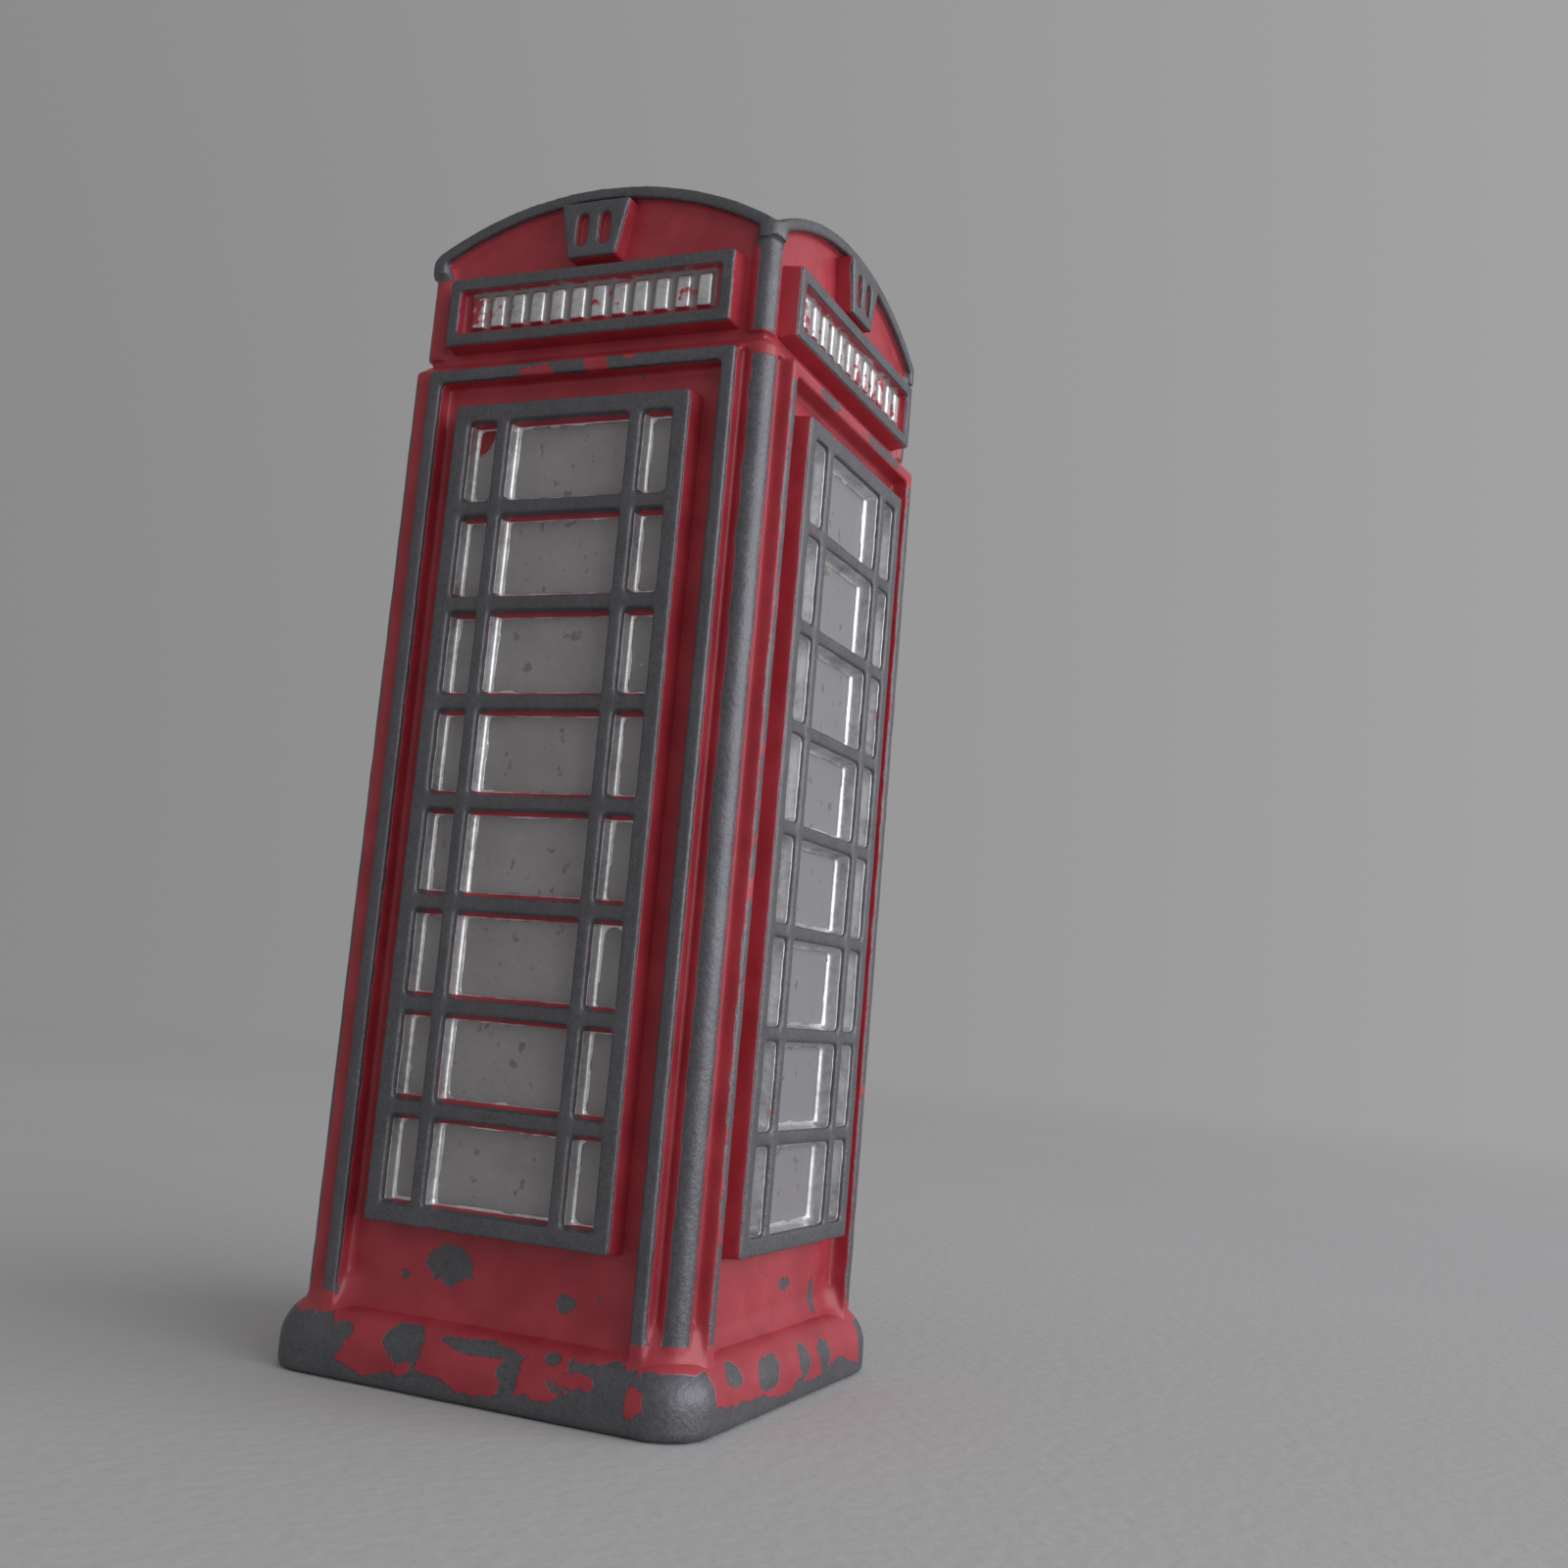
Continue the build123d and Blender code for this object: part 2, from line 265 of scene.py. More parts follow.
def joined(*parts):
    pick(*parts)
    bpy.ops.object.join()
    return bpy.context.object


def modifier(item, name, kind, **values):
    pick(item)
    step = item.modifiers.new(name, kind)
    for key, value in values.items():
        setattr(step, key, value)
    bpy.ops.object.modifier_apply(modifier=step.name)
    return item


def triangles(item):
    return sum(len(face.vertices) - 2 for face in item.data.polygons)


def swell_texture():
    """Slow unevenness of a casting skin."""
    texture = bpy.data.textures.new("casting_swell", "CLOUDS")
    texture.noise_scale = 1.6
    texture.noise_depth = 2
    return texture


swell = swell_texture()


def melt(parts, size, soft):
    """Melt solids into one skin of small squares and round its edges by about the given radius."""
    item = joined(*parts)
    modifier(item, "skin", "REMESH", mode="VOXEL", voxel_size=size, adaptivity=0.0)
    return modifier(item, "soften", "SMOOTH", factor=0.5, iterations=max(2, round(4 * (soft / size) ** 2)))


def cast(name, parts, most, size=voxel, soft=0.2):
    """Melt solids into one casting with soft edges, an uneven skin and a limited triangle count."""
    item = melt(parts, size, soft)
    item.name = name
    item.data.name = name
    modifier(
        item, "uneven", "DISPLACE",
        texture=swell, texture_coords="LOCAL", strength=skin_swell, mid_level=0.8,
    )
    count = triangles(item)
    if count > most:
        modifier(item, "thin", "DECIMATE", decimate_type="COLLAPSE", ratio=most / count)
    return item


def mount(item, slot, *nodes):
    """Bring a piece to metres, give it its body, and let it stand for its CAD nodes; the slot is not used.
    """
    item.data.transform(Matrix.Scale(1 / MM, 4))
    item.data.update()
    pick(item)
    bpy.ops.object.shade_smooth()
    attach(item, "root")
    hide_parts(*nodes)
    return item


# ---- plinth ----
def plinth_slab(inset=0.0):
    """Outside of the plinth, drawn in by a small inset."""
    half = plinth_half - inset
    top = plinth_high.z - inset
    bottom = plinth_low.z + inset
    slab = block((-half, -half, bottom), (half, half, top))
    bevel_edges(slab, upright_edge, plinth_corner, steps=12)
    bevel_edges(slab, level_edge_at(top), plinth_shoulder, steps=12)
    return bevel_edges(slab, level_edge_at(bottom), plinth_toe, steps=4)


def make_plinth():
    slab = plinth_slab(swell_allowance)
    pocket = block((-pocket_half, -pocket_half, -pocket_depth), (pocket_half, pocket_half, pocket_depth))
    bevel_edges(pocket, upright_edge, pocket_corner)
    subtract(slab, pocket)
    return cast("plinth_casting", [slab], most=90000)


# ---- body ----
def body_solids(foot, top):
    """Core, fields, outer frames and corner columns between two heights."""
    core = block((-core_half, -core_half, foot), (core_half, core_half, top))
    field = face_block(-field_half, field_half, core_half - core_bite, field_front, foot, top)
    inside, outside = outer_frame_inside, outer_frame_inside + outer_frame_band
    proud = outer_frame_front + melt_loss
    uprights_top = min(top, outer_frame_top + outer_frame_band)
    side = face_block(inside, outside, core_half - core_bite, proud, foot, uprights_top)
    other = face_block(-outside, -inside, core_half - core_bite, proud, foot, uprights_top)
    columns = corner_rods(column_radius, column_centre, (foot + top) / 2, top - foot)
    return [core] + all_round(field) + all_round(side) + all_round(other) + columns


def make_body():
    foot = plinth_high.z - foot_overlap
    soft_foot = melt(
        [plinth_slab(foot_inset)] + body_solids(foot_start, foot_height), 2 * voxel, foot_softness
    )
    cut(soft_foot, (0, 0, foot), DOWN)
    top = face_block(
        -outer_frame_inside, outer_frame_inside, core_half - core_bite, outer_frame_front + melt_loss,
        outer_frame_top, outer_frame_top + outer_frame_band,
    )
    cornice = block(
        (-cornice_half, -cornice_half, cornice_bottom), (cornice_half, cornice_half, body_high.z)
    )
    bevel_edges(cornice, upright_edge, column_radius)
    bevel_edges(cornice, level_edge_at(body_high.z), cornice_slope, steps=1)
    parts = [soft_foot, cornice] + body_solids(foot, cornice_bottom + cornice_bite) + all_round(top)
    return cast("body_casting", parts, most=190000)


# ---- roof ----
frieze_top = 56.6
frieze_column_middle = 54.2
frieze_column_length = 5.2
rim_end_drop = 0.7                     # how far the rims reach down below their corners
below_dome = 54.0                      # heights under which the round solids are cut off
below_wall = 55.0
below_rim = 45.0
dome_bite = 0.1                        # how far the dome reaches into the rims
wall_drop = 0.1                        # the pediment wall stops this far under its rim
hole_length = 4.0
post_bottom = 50.0                     # post that rounds the corners where two rims meet
post_top = 70.0
rim_rise = pediment_height - rim_corner_height
rim_radius = (rim_front ** 2 + rim_rise ** 2) / (2 * rim_rise)
rim_centre = pediment_height - rim_radius


def make_roof():
    base = body_high.z - frieze_bite
    frieze = block((-core_half, -core_half, base), (core_half, core_half, frieze_top))
    deselect()
    bpy.ops.mesh.primitive_uv_sphere_add(
        segments=96, ring_count=96, radius=dome_radius, location=(0, 0, roof_high.z - dome_radius)
    )
    dome = settle(bpy.context.object)
    cut(dome, (0, 0, below_dome), DOWN)
    for normal in ((1, 0, 0), (-1, 0, 0), (0, 1, 0), (0, -1, 0)):
        cut(dome, Vector(normal) * (rim_back + dome_bite), normal)
    wall_middle = (rim_back + core_half) / 2
    wall = rod(
        rim_radius - wall_drop, (0, -wall_middle, rim_centre), core_half - rim_back, axis="Y", sides=256
    )
    trim(wall, below_wall, core_half)
    rim_middle = (rim_back + rim_front) / 2
    rim = rod(rim_radius, (0, -rim_middle, rim_centre), rim_front - rim_back, axis="Y", sides=256)
    hole = rod(
        rim_radius - rim_thickness, (0, -rim_middle, rim_centre), hole_length, axis="Y", sides=256
    )
    cut(rim, (0, 0, below_rim), DOWN)
    subtract(rim, hole)
    trim(rim, rim_corner_height - rim_end_drop, rim_front)
    corner_post = block((-rim_front, -rim_front, post_bottom), (rim_front, rim_front, post_top))
    bevel_edges(corner_post, upright_edge, rim_corner_radius, steps=8)
    modifier(rim, "round_ends", "BOOLEAN", operation="INTERSECT", solver="EXACT", object=corner_post)
    bpy.data.objects.remove(corner_post)
    columns = corner_rods(
        frieze_column_radius, frieze_column_centre, frieze_column_middle, frieze_column_length
    )
    parts = [frieze, dome] + columns + all_round(wall) + all_round(rim)
    return cast("roof_casting", parts, most=150000)


# ---- windows ----
def bar(left, right, bottom, top, foot, front):
    """Bar that is a little wider at its foot."""
    item = face_block(left - draft, right + draft, foot, front, bottom - draft, top + draft)
    edit_faces(item, lambda centre, normal: normal.y < -0.9)
    bpy.ops.transform.resize(
        value=((right - left) / (right - left + 2 * draft), 1, (top - bottom) / (top - bottom + 2 * draft))
    )
    bpy.ops.object.mode_set(mode="OBJECT")
    return item


def border(low, high, band, root, front):
    """Four bars round the outline of a node on the front face."""
    return [
        bar(low.x, low.x + band, low.z, high.z, root, front),
        bar(high.x - band, high.x, low.z, high.z, root, front),
        bar(low.x, high.x, high.z - band, high.z, root, front),
        bar(low.x, high.x, low.z, low.z + band, root, front),
    ]


lip_rise = 0.08
skirt = 0.12                           # low fillet round a window border
cross_bar_drop = 0.06                  # the level bars lie a little lower than the upright ones
plate_inset = 0.1
bar_inset = 0.2                        # how far a bar stops short of the outline
window_softness = 0.21
seam = 0.03                            # edge of the backing plate that stays under the border
pane_clearance = 0.005
opening_half = (window_high.x - window_low.x) / 2 - border_width
opening_height = window_high.z - window_low.z - 2 * border_width
bar_pitch = (opening_height + bar_width) / (cross_bars + 1)


def make_window():
    left, right = window_low.x, window_high.x
    bottom, top = window_low.z, window_high.z
    root = casting_root
    proud = window_front + melt_loss
    plate = face_block(
        left + plate_inset, right - plate_inset, root, pane_front, bottom + plate_inset, top - plate_inset
    )
    lip = face_block(
        left - skirt, right + skirt, root, field_front + lip_rise, bottom - skirt, top + skirt
    )
    parts = [plate, lip] + border(window_low, window_high, border_width, root, proud)
    half_crown = bar_crown / 2
    upright = right - border_width - narrow_pane - bar_width / 2
    for middle in (-upright, upright):
        parts.append(bar(
            middle - half_crown, middle + half_crown, bottom + bar_inset, top - bar_inset, root, proud
        ))
    for number in range(cross_bars):
        middle = top - border_width - (number + 1) * bar_pitch + bar_width / 2
        parts.append(bar(
            left + bar_inset, right - bar_inset, middle - half_crown, middle + half_crown,
            root, proud - cross_bar_drop,
        ))
    lattice = cast("window_casting", parts, most=110000, soft=window_softness)
    hollow = face_block(
        left + border_width + seam, right - border_width - seam, root - 1, pane_front + pane_clearance,
        bottom + border_width + seam, top - border_width - seam,
    )
    return subtract(lattice, hollow)


# ---- back panel ----
panel_margin = 1.3                     # from the border to the raised middle
panel_step = 0.5                       # sunk field, behind the border
raised_drop = 0.2                      # raised middle, behind the border


def make_back_panel():
    left, right = window_low.x, window_high.x
    bottom, top = window_low.z, window_high.z
    root = casting_root
    margin = border_width + panel_margin
    field = face_block(left, right, root, window_front - panel_step, bottom, top)
    raised = bar(
        left + margin, right - margin, bottom + margin, top - margin, root, window_front - raised_drop
    )
    parts = [field] + border(window_low, window_high, border_width, root, window_front) + [raised]
    return cast("back_panel_casting", parts, most=50000)


# ---- signs ----
slats = 12
slat_width = 0.75
slat_height = 1.7
slat_run = 13.2
slat_rise = 0.3
sign_rim = 0.65
sign_recess = 0.6
sign_root = 9.4


def make_sign():
    left, right = sign_low.x, sign_high.x
    bottom, top = sign_low.z, sign_high.z
    floor = sign_front - sign_recess
    middle = (bottom + top) / 2
    parts = [face_block(left, right, sign_root, floor, bottom, top)]
    parts += border(sign_low, sign_high, sign_rim, sign_root, sign_front)
    for number in range(slats):
        centre = slat_run * (number / (slats - 1) - 0.5)
        parts.append(bar(
            centre - slat_width / 2, centre + slat_width / 2,
            middle - slat_height / 2, middle + slat_height / 2, sign_root, floor + slat_rise,
        ))
    return cast("sign_casting", parts, most=40000, size=0.07, soft=0.15)


# ---- keystones ----
keystone_root = 9.5
keystone_foot_width = 2.8
flute_offset = 0.65                    # flute axis, from the middle of the keystone
flute_radius = 0.3
flute_reach = 0.55                     # half the distance between the two round ends
flute_depth = 0.5


def make_keystone():
    half_foot = keystone_foot_width / 2
    stone = face_block(-half_foot, half_foot, keystone_root, badge_front, badge_low.z, badge_high.z)
    edit_faces(stone, lambda centre, normal: normal.z > 0.9)
    bpy.ops.transform.resize(value=((badge_high.x - badge_low.x) / keystone_foot_width, 1, 1))
    bpy.ops.object.mode_set(mode="OBJECT")
    middle = (badge_low.z + badge_high.z) / 2
    for x in (-flute_offset, flute_offset):
        for rise in (-flute_reach, flute_reach):
            end = rod(flute_radius, (x, -badge_front, middle + rise), 2 * flute_depth, axis="Y", sides=32)
            subtract(stone, end)
        subtract(stone, face_block(
            x - flute_radius, x + flute_radius, badge_front - flute_depth, badge_front + flute_depth,
            middle - flute_reach, middle + flute_reach,
        ))
    return cast("keystone_casting", [stone], most=14000, size=0.06, soft=0.17)


# ---- colours, linear ----
red_deep = (0.35, 0.027, 0.041, 1)
red_clear = (0.455, 0.047, 0.065, 1)
zinc_dark = (0.108, 0.104, 0.114, 1)
zinc_pale = (0.160, 0.160, 0.176, 1)
silver_dull = (0.30, 0.28, 0.28, 1)
silver_clear = (0.38, 0.36, 0.365, 1)
silver_bright = (0.78, 0.78, 0.78, 1)
silver_dark = (0.30, 0.28, 0.28, 1)
silver_shaded = (0.25, 0.24, 0.25, 1)
stain_dark = (0.07, 0.055, 0.055, 1)
stain_yellow = (0.42, 0.40, 0.22, 1)
steel_dark = (0.10, 0.10, 0.105, 1)
steel_pale = (0.34, 0.33, 0.32, 1)
rust = (0.16, 0.07, 0.035, 1)
floor_dull = (0.55, 0.55, 0.55, 1)
floor_clear = (0.59, 0.59, 0.59, 1)
room_left = (0.225, 0.22, 0.215, 1)
room_right = (0.50, 0.50, 0.52, 1)

# ---- wear, in millimetres ----
# a patch: face, distance along it, height, half width, half height, how ragged where not usual
band_middle = outer_frame_top + outer_frame_band / 2
red_on_band = (
    ("front", -1.8, outer_frame_top + 0.1, 0.9, 0.4, 1.2), ("front", 1.4, band_middle, 0.8, 0.7, 1.2),
    ("front", 3.1, band_middle + 0.3, 0.4, 0.25),
)
bare_on_band = (("right", -3.8, band_middle, 1.6, 0.27), ("right", 4.0, band_middle, 2.9, 0.25))
bare_on_aprons = (
    ("front", -2.3, 5.75, 1.25, 0.9), ("front", 4.1, 4.95, 0.45, 0.38), ("front", -4.8, 5.07, 0.25, 0.22),
    ("right", 2.0, 5.3, 0.55, 0.35, 0.9), ("right", 5.5, 4.4, 0.28, 0.8, 0.7),
    ("left", 3.0, 5.6, 1.0, 0.5), ("back", -1.5, 5.4, 0.9, 0.45),
)
bare_on_plinth = (
    ("front", -8.3, 1.9, 1.9, 1.1), ("front", -3.3, 2.2, 1.1, 0.9), ("front", 0.7, 2.6, 2.1, 0.32),
    ("front", 2.5, 1.7, 0.55, 1.1), ("front", 7.6, 1.9, 2.6, 1.0), ("front", 4.5, 2.7, 0.45, 0.22),
    ("right", -6.7, 2.4, 0.9, 0.5), ("right", -3.0, 1.9, 1.2, 0.8), ("right", 1.4, 1.9, 0.6, 1.0),
    ("right", 4.0, 1.8, 0.8, 0.8),
)
red_on_plinth = (("front", 5.9, 2.0, 0.9, 0.35, 1.2), ("front", 9.0, 1.5, 0.45, 0.6, 1.2))
# distances from the centre axis beyond which the enamel is worn away
bar_wear_level = window_front - 0.33   # behind this the bars are silver
column_wear_level = 9.52
frieze_column_wear_level = 9.25


# ---- finishes ----
FACTOR, FLOAT_LOW, FLOAT_HIGH, COLOUR_LOW, COLOUR_HIGH = 0, 2, 3, 6, 7      # inputs of a mix node
FLOAT_RESULT, COLOUR_RESULT = 0, 2                                          # and its outputs


class Flow:
    """Number carried by a shader socket, so that a worn area can be written as a formula."""

    def __init__(self, finish, socket):
        self.finish = finish
        self.socket = socket

    def math(self, operation, *others):
        return self.finish.math(operation, self, *others)

    def __add__(self, other):
        return self.math("ADD", other)

    def __radd__(self, other):
        return self.math("ADD", other)

    def __sub__(self, other):
        return self.math("SUBTRACT", other)

    def __rsub__(self, other):
        return self.finish.math("SUBTRACT", other, self)

    def __mul__(self, other):
        return self.math("MULTIPLY", other)

    def __rmul__(self, other):
        return self.math("MULTIPLY", other)

    def __neg__(self):
        return self.math("MULTIPLY", -1.0)

    def size(self):
        return self.math("ABSOLUTE")

    def least(self, other):
        return self.math("MINIMUM", other)

    def most(self, other):
        return self.math("MAXIMUM", other)

    def above(self, level, blur=0.03):
        """1 where the number is over the level, 0 where it is under, with a narrow blur."""
        node = self.finish.node("ShaderNodeMapRange", interpolation_type="SMOOTHSTEP")
        self.finish.feed(self - level, node.inputs["Value"])
        node.inputs["From Min"].default_value = -blur
        node.inputs["From Max"].default_value = blur
        return Flow(self.finish, node.outputs["Result"])

    def below(self, level, blur=0.03):
        return 1 - self.above(level, blur)


class Finish:
    """Procedural material whose patterns are laid out in millimetres on the piece."""

    def __init__(self, name):
        self.material = bpy.data.materials.new(name)
        self.material.use_nodes = True
        self.tree = self.material.node_tree
        self.shader = self.tree.nodes["Principled BSDF"]
        scaled = self.node("ShaderNodeVectorMath", operation="SCALE")
        self.feed(self.node("ShaderNodeTexCoord").outputs["Object"], scaled.inputs[0])
        scaled.inputs["Scale"].default_value = MM
        self.place = scaled.outputs["Vector"]
        split = self.node("ShaderNodeSeparateXYZ")
        self.feed(self.place, split.inputs[0])
        self.x, self.y, self.z = (Flow(self, socket) for socket in split.outputs)
        self.out = self.x.size().most(self.y.size())
        self.aside = self.x.size().least(self.y.size())

    def node(self, kind, **settings):
        item = self.tree.nodes.new(kind)
        for key, value in settings.items():
            setattr(item, key, value)
        return item

    def feed(self, value, socket):
        if isinstance(value, Flow):
            value = value.socket
        if isinstance(value, bpy.types.NodeSocket):
            self.tree.links.new(value, socket)
        else:
            socket.default_value = value

    def math(self, operation, *values):
        item = self.node("ShaderNodeMath", operation=operation)
        for value, socket in zip(values, item.inputs):
            self.feed(value, socket)
        return Flow(self, item.outputs[0])

    def noise(self, size, detail=2.0, stretch=(1, 1, 1), shift=0.0):
        """Cloudy noise about zero, with lumps of about the given size."""
        moved = self.node("ShaderNodeVectorMath", operation="MULTIPLY_ADD")
        self.feed(self.place, moved.inputs[0])
        moved.inputs[1].default_value = [1 / (size * part) for part in stretch]
        moved.inputs[2].default_value = (shift, shift, shift)
        item = self.node("ShaderNodeTexNoise")
        self.feed(moved.outputs[0], item.inputs["Vector"])
        item.inputs["Scale"].default_value = 1.0
        item.inputs["Detail"].default_value = detail
        return Flow(self, item.outputs[0]) - 0.5

    def grains(self, size):
        """Distance from the middle of the nearest of many scattered grains, in grain sizes."""
        item = self.node("ShaderNodeTexVoronoi")
        self.feed(self.place, item.inputs["Vector"])
        item.inputs["Scale"].default_value = 1 / size
        return Flow(self, item.outputs["Distance"])

    def mix(self, amount, low, high):
        item = self.node("ShaderNodeMix", data_type="FLOAT")
        self.feed(amount, item.inputs[FACTOR])
        self.feed(low, item.inputs[FLOAT_LOW])
        self.feed(high, item.inputs[FLOAT_HIGH])
        return Flow(self, item.outputs[FLOAT_RESULT])

    def tint(self, amount, low, high):
        item = self.node("ShaderNodeMix", data_type="RGBA")
        self.feed(amount, item.inputs[FACTOR])
        self.feed(low, item.inputs[COLOUR_LOW])
        self.feed(high, item.inputs[COLOUR_HIGH])
        return item.outputs[COLOUR_RESULT]

    def on(self, side):
        """1 on the named face, 0 elsewhere."""
        ahead = {"front": -self.y, "right": self.x, "back": self.y, "left": -self.x}[side]
        return ahead.above(self.aside, 0.01) * ahead.above(self.out - 0.02, 0.01)

    def along(self, side):
        """Distance along the named face, from left to right as seen from outside it."""
        return {"front": self.x, "right": self.y, "back": -self.x, "left": -self.y}[side]

    def chip(self, side, along, height, half_width, half_height, ragged=0.5):
        """Patch on one face with an uneven edge."""
        across = (self.along(side) - along) * (1 / half_width)
        up = (self.z - height) * (1 / half_height)
        reach = (across * across + up * up).math("SQRT") + self.noise(0.8, 5) * ragged * 3
        return reach.below(1.0, 0.06) * self.on(side)

    def chips(self, patches):
        """Several patches added up; each one holds the values that a chip takes."""
        total = self.chip(*patches[0])
        for patch in patches[1:]:
            total = total + self.chip(*patch)
        return total

    def specks(self, spacing, size, rarity):
        """Small specks in loose clouds; their size is a share of the spacing."""
        return self.grains(spacing).below(size, 0.02) * self.noise(1.7).above(rarity)

    def surface(self, colour, metallic, roughness, height):
        """Join the results to the shader; the height is in millimetres."""
        self.feed(colour, self.shader.inputs["Base Color"])
        self.feed(metallic, self.shader.inputs["Metallic"])
        self.feed(roughness, self.shader.inputs["Roughness"])
        bump = self.node("ShaderNodeBump")
        bump.inputs["Distance"].default_value = 1 / MM
        self.feed(height, bump.inputs["Height"])
        self.feed(bump.outputs["Normal"], self.shader.inputs["Normal"])
        return self.material


zinc_metallic = 0.6
silver_metallic = 0.85


def enamel_over_zinc(finish, bare, silver=0.0, sunk_floor=0.0):
    """Red enamel that is worn to bare zinc in one area and silvered over in another."""
    cloud = finish.noise(2.4, 3)
    grit = finish.noise(0.30, 3)
    fine = finish.noise(0.11, 2)
    red = finish.tint(cloud.above(0.0, 0.25), red_deep, red_clear)
    zinc = finish.tint((fine * 0.8 + grit * 0.4 + cloud * 0.5).above(0.0, 0.3), zinc_dark, zinc_pale)
    paint = finish.tint((grit * 0.6 + cloud).above(-0.15, 0.4), silver_dark, silver_bright)
    # on the sunk floor the silver is darker, less metallic and rougher
    colour = finish.tint(silver, finish.tint(bare, red, zinc), finish.tint(sunk_floor, paint, silver_dark))
    metallic = finish.mix(silver, bare * zinc_metallic, silver_metallic - sunk_floor * 0.5)
    worn_roughness = finish.mix(bare, 0.38 + cloud * 0.2, 0.47 + grit * 0.2)
    roughness = finish.mix(silver, worn_roughness, 0.36 + grit * 0.1 + sunk_floor * 0.2)
    skin = finish.mix(bare, 0.028 + cloud * 0.012 + grit * 0.006, grit * 0.034 + fine * 0.012)
    height = finish.mix(silver, skin, 0.045 + cloud * 0.01 + grit * 0.004)
    return finish.surface(colour, metallic, roughness, height)


def body_finish():
    finish = Finish("worn_enamel_body")
    ragged = finish.noise(0.8, 3) * 0.26
    slow = finish.noise(2.6, 2, shift=4.0)
    # raised outer frame: worn right through on the front, a thin line on the right
    level = (
        finish.on("front") * (outer_frame_front - 0.28) + finish.on("right") * (outer_frame_front - 0.03)
        + finish.on("back") * (outer_frame_front - 0.12) + finish.on("left") * (outer_frame_front - 0.10)
    )
    kept = finish.chips(red_on_band) + finish.on("right") * (finish.z + ragged).above(outer_frame_top - 0.3)
    rails = (finish.out + ragged + slow * 0.22 * (1 - finish.on("front")) - level - kept * 0.5).above(0.0)
    rails = rails * (finish.z + ragged * 2).above(plinth_high.z + 0.3)
    rails = rails.most(finish.chips(bare_on_band).least(1.0))
    # corner columns: bare over the outward quarter, less so on the left and at the back
    sheltered = finish.x.below(0.0) * finish.y.below(0.0) * 0.45 + finish.y.above(0.0) * 0.12
    columns = (finish.aside + ragged * 0.9 + slow * 0.35 - sheltered).above(column_wear_level)
    columns = columns * finish.z.below(cornice_bottom - 0.35)
    columns = columns * (finish.z + ragged * 2).above(plinth_high.z + 0.3)
    # cornice: a thin worn edge
    edge = (finish.out + ragged * 0.6 + slow * 0.3).above(cornice_half + 0.06)
    edge = edge * finish.z.above(cornice_bottom) * finish.z.below(cornice_bottom + 0.5)
    chips = finish.chips(bare_on_aprons)
    specks = finish.specks(1.9, 0.07, 0.08)
    bare = (rails + columns + edge + chips + specks * 0.9).least(1.0)
    return enamel_over_zinc(finish, bare)


def plinth_finish():
    finish = Finish("worn_enamel_plinth")
    ragged = finish.noise(1.0, 5) * 1.3
    lumps = finish.noise(2.4, 2, shift=9.0)
    corners = (finish.aside + ragged * 0.8).above(9.0, 0.08) * (finish.z + ragged * 0.5).below(2.85, 0.06)
    foot = (finish.z + ragged * 0.7 + lumps * 2.6).below(0.95, 0.06)
    shoulder = (lumps + ragged * 0.12).above(0.10, 0.015) * finish.z.below(3.0, 0.3)
    patches = finish.chips(bare_on_plinth)
    quiet = finish.on("back") + finish.on("left")
    islands = finish.chips(red_on_plinth)
    bare = (corners + foot + shoulder * quiet + patches).least(1.0) * (1 - islands.least(1.0))
    return enamel_over_zinc(finish, bare)


def roof_finish():
    finish = Finish("worn_enamel_roof")
    ragged = finish.noise(0.8, 3) * 0.3
    slow = finish.noise(3.0, 2, shift=2.0)
    rims = (finish.out + ragged).above(core_half + 0.22) * finish.z.above(rim_corner_height - 1.0)
    sheltered = finish.x.below(0.0) * 0.5
    columns = (finish.aside + ragged * 0.8 - sheltered).above(frieze_column_wear_level)
    columns = columns * finish.z.above(body_high.z + 0.35) * finish.z.below(rim_corner_height - 0.45)
    crown = (finish.z + slow * 2.0 + ragged).above(pediment_height + 0.5, 0.08)
    specks = finish.specks(2.1, 0.06, 0.08)
    return enamel_over_zinc(finish, (rims + columns + crown + specks).least(1.0))


def window_finish():
    finish = Finish("worn_enamel_window")
    ragged = finish.noise(0.7, 3) * 0.14
    slow = finish.noise(2.4, 2, shift=7.0)
    kept = finish.noise(1.5, 4, shift=3.3).above(0.20, 0.02) * 0.3
    # distance from the middle of the nearest level bar: its two sides stayed unsilvered
    from_bar = (finish.z - window_low.z - border_width + bar_width / 2).math("PINGPONG", bar_pitch / 2)
    level_bar = (from_bar + ragged * 0.4).below(bar_width / 2 + draft + 0.02)
    level_bar = level_bar * (1 - finish.on("right")) * finish.aside.below(opening_half + 0.1)
    under_top = finish.z.above(window_high.z - border_width - 0.4)
    edge = finish.aside.above(opening_half + border_width - 0.3)
    reach = level_bar * (0.28 - under_top * 0.18) - edge * 0.16 - finish.on("right") * 0.1
    bare = (finish.out + ragged * 0.7 + slow * 0.10 - kept + reach).above(bar_wear_level)
    inside = finish.aside.below(opening_half + 0.1) * (1 - level_bar)
    silver_edge = bar_wear_level + finish.on("right") * 0.14
    sprayed = (finish.out + ragged * 0.6 - slow * 0.1).below(silver_edge)
    silver = inside * sprayed
    return enamel_over_zinc(finish, bare, silver)


def back_panel_finish():
    finish = Finish("worn_enamel_back_panel")
    ragged = finish.noise(0.8, 3) * 0.2
    slow = finish.noise(3.4, 2, shift=5.0)
    border = (finish.out + ragged).above(window_front - 0.16)
    raised = (finish.out + ragged + slow * 0.5).above(window_front - 0.22)
    specks = finish.specks(1.9, 0.07, 0.06)
    return enamel_over_zinc(finish, (border + raised + specks).least(1.0))


